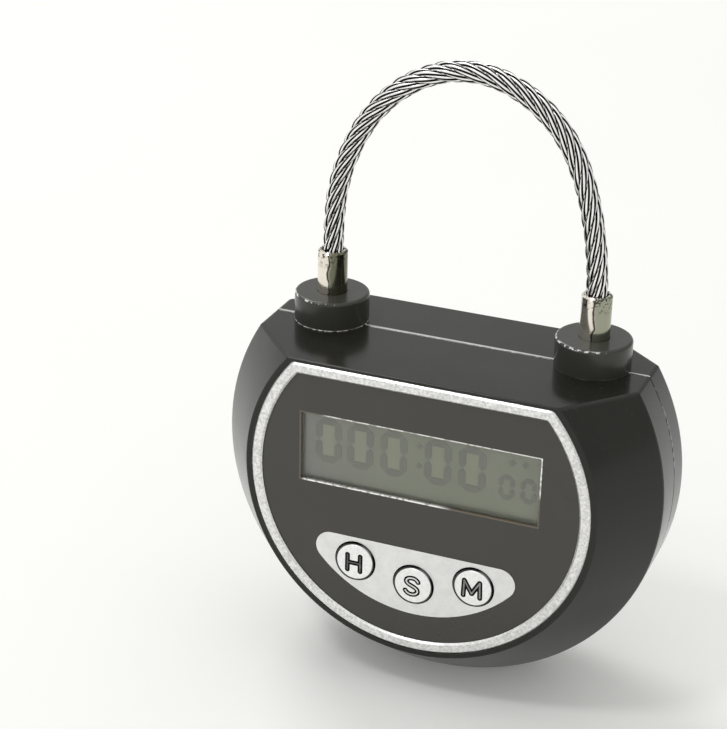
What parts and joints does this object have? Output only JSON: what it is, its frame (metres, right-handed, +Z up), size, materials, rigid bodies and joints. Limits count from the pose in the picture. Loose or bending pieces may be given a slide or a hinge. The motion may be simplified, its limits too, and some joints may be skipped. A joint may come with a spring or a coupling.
{
  "type": "timer padlock",
  "caption": "Round timer padlock: display and keys on its face, steel wire rope shackle with a pull-out plug.",
  "frame": {"origin": "bottom of the round case, half way across its width and depth", "axes": "+Z up to the shackle, +Y from the display to the back, +X to the right as seen from the front"},
  "size_m": [0.064, 0.026, 0.0886],
  "materials": {
    "case_black": "moulded black plastic, high gloss",
    "cap_black": "black, high gloss",
    "face_black": "black plate, semi-gloss",
    "trim_silver": "bright satin trim",
    "key_silver": "satin, with a dark letter",
    "window_clear": "clear acrylic, glossy",
    "lcd_cell": "grey-green reflective display cell",
    "holder_white": "moulded white plastic",
    "contact_rubber": "silicone strip with carbon stripes",
    "board_green": "glass-epoxy board, solder mask",
    "chip_black": "moulded epoxy",
    "switch_black": "moulded switch body",
    "plunger_white": "moulded plunger",
    "battery_wrap": "laminated foil pouch",
    "foam_black": "closed-cell foam",
    "screw_steel": "zinc-plated steel",
    "pin_steel": "turned steel",
    "zinc_cast": "die-cast alloy, as cast",
    "ferrule_nickel": "nickel-plated, bright",
    "rope_steel": "stranded steel wire rope",
    "socket_steel": "drawn steel sheet",
    "motor_steel": "plated steel can"
  },
  "bodies": {
    "root": {"front_shell": "case_black", "back_shell": "case_black", "bezel_ring": "trim_silver", "face_plate": "face_black", "display_pane": "window_clear", "lcd_glass": "lcd_cell", "display_holder": "holder_white", "contact_strip_upper": "contact_rubber", "contact_strip_lower": "contact_rubber", "key_panel": "trim_silver", "main_board": "board_green", "controller_chip": "chip_black", "clock_crystal": "socket_steel", "charging_socket": "socket_steel", "switch_hour": "switch_black", "switch_set": "switch_black", "switch_minute": "switch_black", "battery_cell": "battery_wrap", "battery_pad": "foam_black", "lock_frame": "zinc_cast", "frame_cover": "zinc_cast", "frame_screws": "screw_steel", "latch_motor": "motor_steel", "motor_buffer": "foam_black", "socket_bush": "pin_steel", "anchor_cap": "cap_black", "anchor_stem": "pin_steel", "anchor_ferrule": "ferrule_nickel", "shackle_rope": "rope_steel", "case_screws": "screw_steel"},
    "plug": {"plug_cap": "cap_black", "plug_pin": "pin_steel", "plug_ferrule": "ferrule_nickel"},
    "hour_key": {"key_hour": "key_silver", "plunger_hour": "plunger_white"},
    "set_key": {"key_set": "key_silver", "plunger_set": "plunger_white"},
    "minute_key": {"key_minute": "key_silver", "plunger_minute": "plunger_white"},
    "latch": {"latch_bolt": "pin_steel"},
    "drive_screw": {"lead_screw": "pin_steel"}
  },
  "joints": [
    {"name": "plug_slide", "type": "slide", "parent": "root", "child": "plug", "axis": [0, 0, 1], "range_m": [0, 0.013], "deforming": ["shackle_rope"]},
    {"name": "hour_key_press", "type": "slide", "parent": "root", "child": "hour_key", "axis": [0, 1, 0], "range_m": [0, 0.0005], "stiffness_N_per_m": 800, "springref_m": -0.0002},
    {"name": "set_key_press", "type": "slide", "parent": "root", "child": "set_key", "axis": [0, 1, 0], "range_m": [0, 0.0005], "stiffness_N_per_m": 800, "springref_m": -0.0002},
    {"name": "minute_key_press", "type": "slide", "parent": "root", "child": "minute_key", "axis": [0, 1, 0], "range_m": [0, 0.0005], "stiffness_N_per_m": 800, "springref_m": -0.0002},
    {"name": "latch_slide", "type": "slide", "parent": "root", "child": "latch", "axis": [-1, 0, 0], "range_m": [0, 0.0015]},
    {"name": "screw_spin", "type": "hinge", "parent": "root", "child": "drive_screw", "pos_m": [0, 0.0024, 0.04], "axis": [1, 0, 0], "range_deg": [0, 1080]}
  ],
  "couplings": [
    {"joint": "screw_spin", "follows": "latch_slide", "rad_per_m": 12566}
  ]
}
